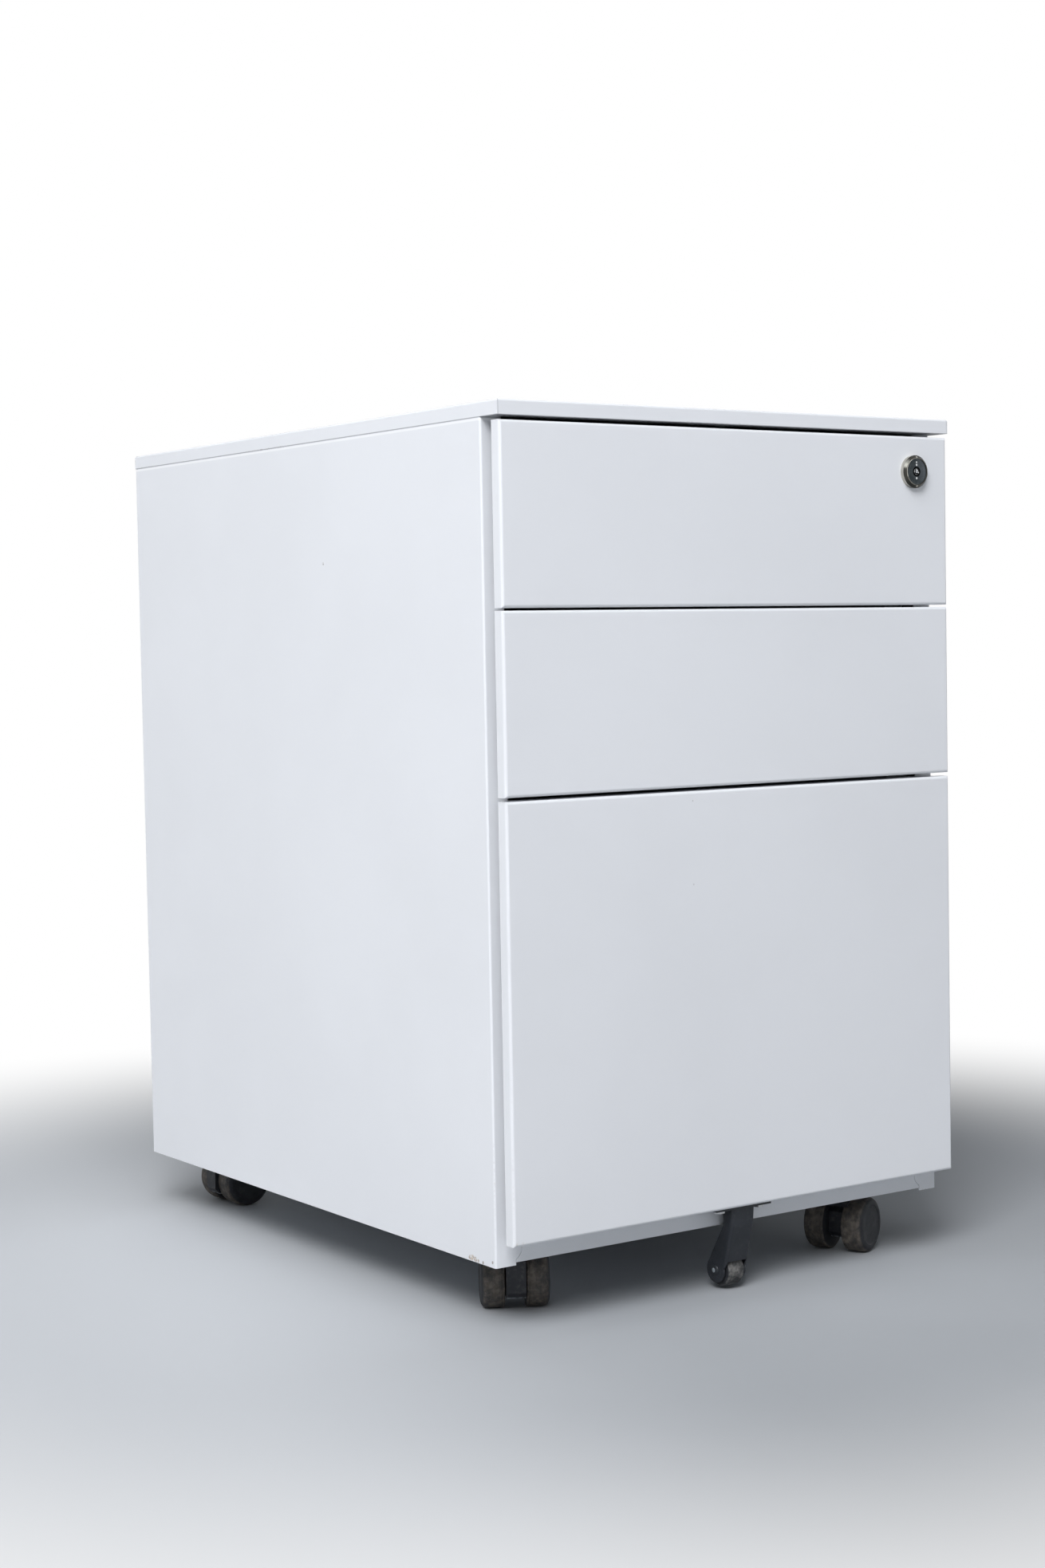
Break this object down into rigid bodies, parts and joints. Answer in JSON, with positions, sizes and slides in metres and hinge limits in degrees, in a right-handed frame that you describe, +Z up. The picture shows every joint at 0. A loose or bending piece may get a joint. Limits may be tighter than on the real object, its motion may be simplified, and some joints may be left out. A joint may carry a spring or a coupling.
{
  "type": "mobile drawer pedestal",
  "caption": "Low mobile drawer pedestal in folded sheet steel: box drawers over a deep file drawer, a central lock, swivel castors and an anti-tilt fork.",
  "frame": {"origin": "on the floor, under the middle of the overall box with the drawers closed", "axes": "+X to the right as seen from the front, +Y to the back, +Z up"},
  "size_m": [0.39, 0.521, 0.604],
  "materials": {
    "white_enamel": "satin powder coat",
    "inner_enamel": "satin powder coat",
    "zinc_steel": "zinc plated",
    "lock_chrome": "polished",
    "guide_plastic": "moulded",
    "bar_aluminium": "satin",
    "hood_plastic": "moulded",
    "wheel_plastic": "dusty",
    "pin_steel": "zinc plated",
    "fork_enamel": "satin",
    "roller_plastic": "dusty"
  },
  "bodies": {
    "carcass": {"side_panel_left": "white_enamel", "side_panel_right": "white_enamel", "top_panel": "white_enamel", "back_panel": "white_enamel", "base_panel": "white_enamel", "front_bottom_rail": "white_enamel", "front_top_rail": "inner_enamel", "front_upright_left": "inner_enamel", "front_upright_right": "inner_enamel", "rear_upright_left": "inner_enamel", "rear_upright_right": "inner_enamel", "slide_outer_top": "zinc_steel", "slide_outer_middle": "zinc_steel", "slide_outer_file": "zinc_steel", "lock_bar_guides": "guide_plastic", "castor_plates": "zinc_steel", "castor_screws": "zinc_steel"},
    "top_drawer": {"lock_barrel": "lock_chrome", "lock_nut": "zinc_steel", "drawer_front_top": "white_enamel", "drawer_box_top": "inner_enamel", "slide_inner_top": "zinc_steel", "catch_stud_top": "zinc_steel"},
    "middle_drawer": {"drawer_front_middle": "white_enamel", "drawer_box_middle": "inner_enamel", "slide_inner_middle": "zinc_steel", "catch_stud_middle": "zinc_steel"},
    "file_drawer": {"file_bar_left": "bar_aluminium", "file_bar_right": "bar_aluminium", "fork_bracket": "fork_enamel", "fork_screws": "zinc_steel", "fork_axle": "pin_steel", "drawer_front_file": "white_enamel", "drawer_box_file": "inner_enamel", "slide_inner_file": "zinc_steel", "catch_stud_file": "zinc_steel"},
    "lock_core": {"lock_plug": "lock_chrome", "lock_cam": "zinc_steel"},
    "lock_bar": {"lock_bar": "zinc_steel"},
    "fork_roller": {"fork_wheel": "roller_plastic"},
    "top_slide_members": {"slide_middle_top": "zinc_steel"},
    "middle_slide_members": {"slide_middle_middle": "zinc_steel"},
    "file_slide_members": {"slide_middle_file": "zinc_steel"},
    "castor_front_left": {"castor_hood_front_left": "hood_plastic", "castor_axle_front_left": "pin_steel"},
    "castor_wheel_front_left_left": {"castor_wheel_front_left_left": "wheel_plastic"},
    "castor_wheel_front_left_right": {"castor_wheel_front_left_right": "wheel_plastic"},
    "castor_front_right": {"castor_hood_front_right": "hood_plastic", "castor_axle_front_right": "pin_steel"},
    "castor_wheel_front_right_left": {"castor_wheel_front_right_left": "wheel_plastic"},
    "castor_wheel_front_right_right": {"castor_wheel_front_right_right": "wheel_plastic"},
    "castor_rear_left": {"castor_hood_rear_left": "hood_plastic", "castor_axle_rear_left": "pin_steel"},
    "castor_wheel_rear_left_left": {"castor_wheel_rear_left_left": "wheel_plastic"},
    "castor_wheel_rear_left_right": {"castor_wheel_rear_left_right": "wheel_plastic"},
    "castor_rear_right": {"castor_hood_rear_right": "hood_plastic", "castor_axle_rear_right": "pin_steel"},
    "castor_wheel_rear_right_left": {"castor_wheel_rear_right_left": "wheel_plastic"},
    "castor_wheel_rear_right_right": {"castor_wheel_rear_right_right": "wheel_plastic"}
  },
  "joints": [
    {"name": "top_drawer_slide", "type": "slide", "parent": "carcass", "child": "top_drawer", "axis": [0, -1, 0], "range_m": [0, 0.41]},
    {"name": "top_slide_member", "type": "slide", "parent": "carcass", "child": "top_slide_members", "axis": [0, -1, 0], "range_m": [0, 0.206]},
    {"name": "middle_drawer_slide", "type": "slide", "parent": "carcass", "child": "middle_drawer", "axis": [0, -1, 0], "range_m": [0, 0.41]},
    {"name": "middle_slide_member", "type": "slide", "parent": "carcass", "child": "middle_slide_members", "axis": [0, -1, 0], "range_m": [0, 0.206]},
    {"name": "file_drawer_slide", "type": "slide", "parent": "carcass", "child": "file_drawer", "axis": [0, -1, 0], "range_m": [0, 0.41]},
    {"name": "file_slide_member", "type": "slide", "parent": "carcass", "child": "file_slide_members", "axis": [0, -1, 0], "range_m": [0, 0.206]},
    {"name": "lock_turn", "type": "hinge", "parent": "top_drawer", "child": "lock_core", "pos_m": [0.161, -0.256, 0.566], "axis": [0, -1, 0], "range_deg": [0, 90]},
    {"name": "lock_bar_lift", "type": "slide", "parent": "carcass", "child": "lock_bar", "axis": [0, 0, 1], "range_m": [0, 0.01131]},
    {"name": "fork_wheel_spin", "type": "hinge", "parent": "file_drawer", "child": "fork_roller", "pos_m": [0, -0.2325, 0.0138], "axis": [1, 0, 0], "continuous": true},
    {"name": "castor_swivel_front_left", "type": "hinge", "parent": "carcass", "child": "castor_front_left", "pos_m": [-0.15, -0.1925, 0.05], "axis": [0, 0, 1], "continuous": true},
    {"name": "castor_wheel_spin_front_left_left", "type": "hinge", "parent": "castor_front_left", "child": "castor_wheel_front_left_left", "pos_m": [-0.14326, -0.18092, 0.02], "axis": [-0.8643, 0.503, 0], "continuous": true},
    {"name": "castor_wheel_spin_front_left_right", "type": "hinge", "parent": "castor_front_left", "child": "castor_wheel_front_left_right", "pos_m": [-0.14326, -0.18092, 0.02], "axis": [-0.8643, 0.503, 0], "continuous": true},
    {"name": "castor_swivel_front_right", "type": "hinge", "parent": "carcass", "child": "castor_front_right", "pos_m": [0.15, -0.1925, 0.05], "axis": [0, 0, 1], "continuous": true},
    {"name": "castor_wheel_spin_front_right_left", "type": "hinge", "parent": "castor_front_right", "child": "castor_wheel_front_right_left", "pos_m": [0.13783, -0.1981, 0.02], "axis": [0.4179, -0.9085, 0], "continuous": true},
    {"name": "castor_wheel_spin_front_right_right", "type": "hinge", "parent": "castor_front_right", "child": "castor_wheel_front_right_right", "pos_m": [0.13783, -0.1981, 0.02], "axis": [0.4179, -0.9085, 0], "continuous": true},
    {"name": "castor_swivel_rear_left", "type": "hinge", "parent": "carcass", "child": "castor_rear_left", "pos_m": [-0.15, 0.2305, 0.05], "axis": [0, 0, 1], "continuous": true},
    {"name": "castor_wheel_spin_rear_left_left", "type": "hinge", "parent": "castor_rear_left", "child": "castor_wheel_rear_left_left", "pos_m": [-0.13661, 0.23097, 0.02], "axis": [-0.0349, 0.9994, 0], "continuous": true},
    {"name": "castor_wheel_spin_rear_left_right", "type": "hinge", "parent": "castor_rear_left", "child": "castor_wheel_rear_left_right", "pos_m": [-0.13661, 0.23097, 0.02], "axis": [-0.0349, 0.9994, 0], "continuous": true},
    {"name": "castor_swivel_rear_right", "type": "hinge", "parent": "carcass", "child": "castor_rear_right", "pos_m": [0.15, 0.2305, 0.05], "axis": [0, 0, 1], "continuous": true},
    {"name": "castor_wheel_spin_rear_right_left", "type": "hinge", "parent": "castor_rear_right", "child": "castor_wheel_rear_right_left", "pos_m": [0.14231, 0.21952, 0.02], "axis": [0.8192, -0.5736, 0], "continuous": true},
    {"name": "castor_wheel_spin_rear_right_right", "type": "hinge", "parent": "castor_rear_right", "child": "castor_wheel_rear_right_right", "pos_m": [0.14231, 0.21952, 0.02], "axis": [0.8192, -0.5736, 0], "continuous": true}
  ],
  "couplings": [
    {"joint": "top_slide_member", "follows": "top_drawer_slide", "ratio": 0.5},
    {"joint": "middle_slide_member", "follows": "middle_drawer_slide", "ratio": 0.5},
    {"joint": "file_slide_member", "follows": "file_drawer_slide", "ratio": 0.5},
    {"joint": "lock_turn", "follows": "lock_bar_lift", "rad_per_m": 138.84}
  ]
}
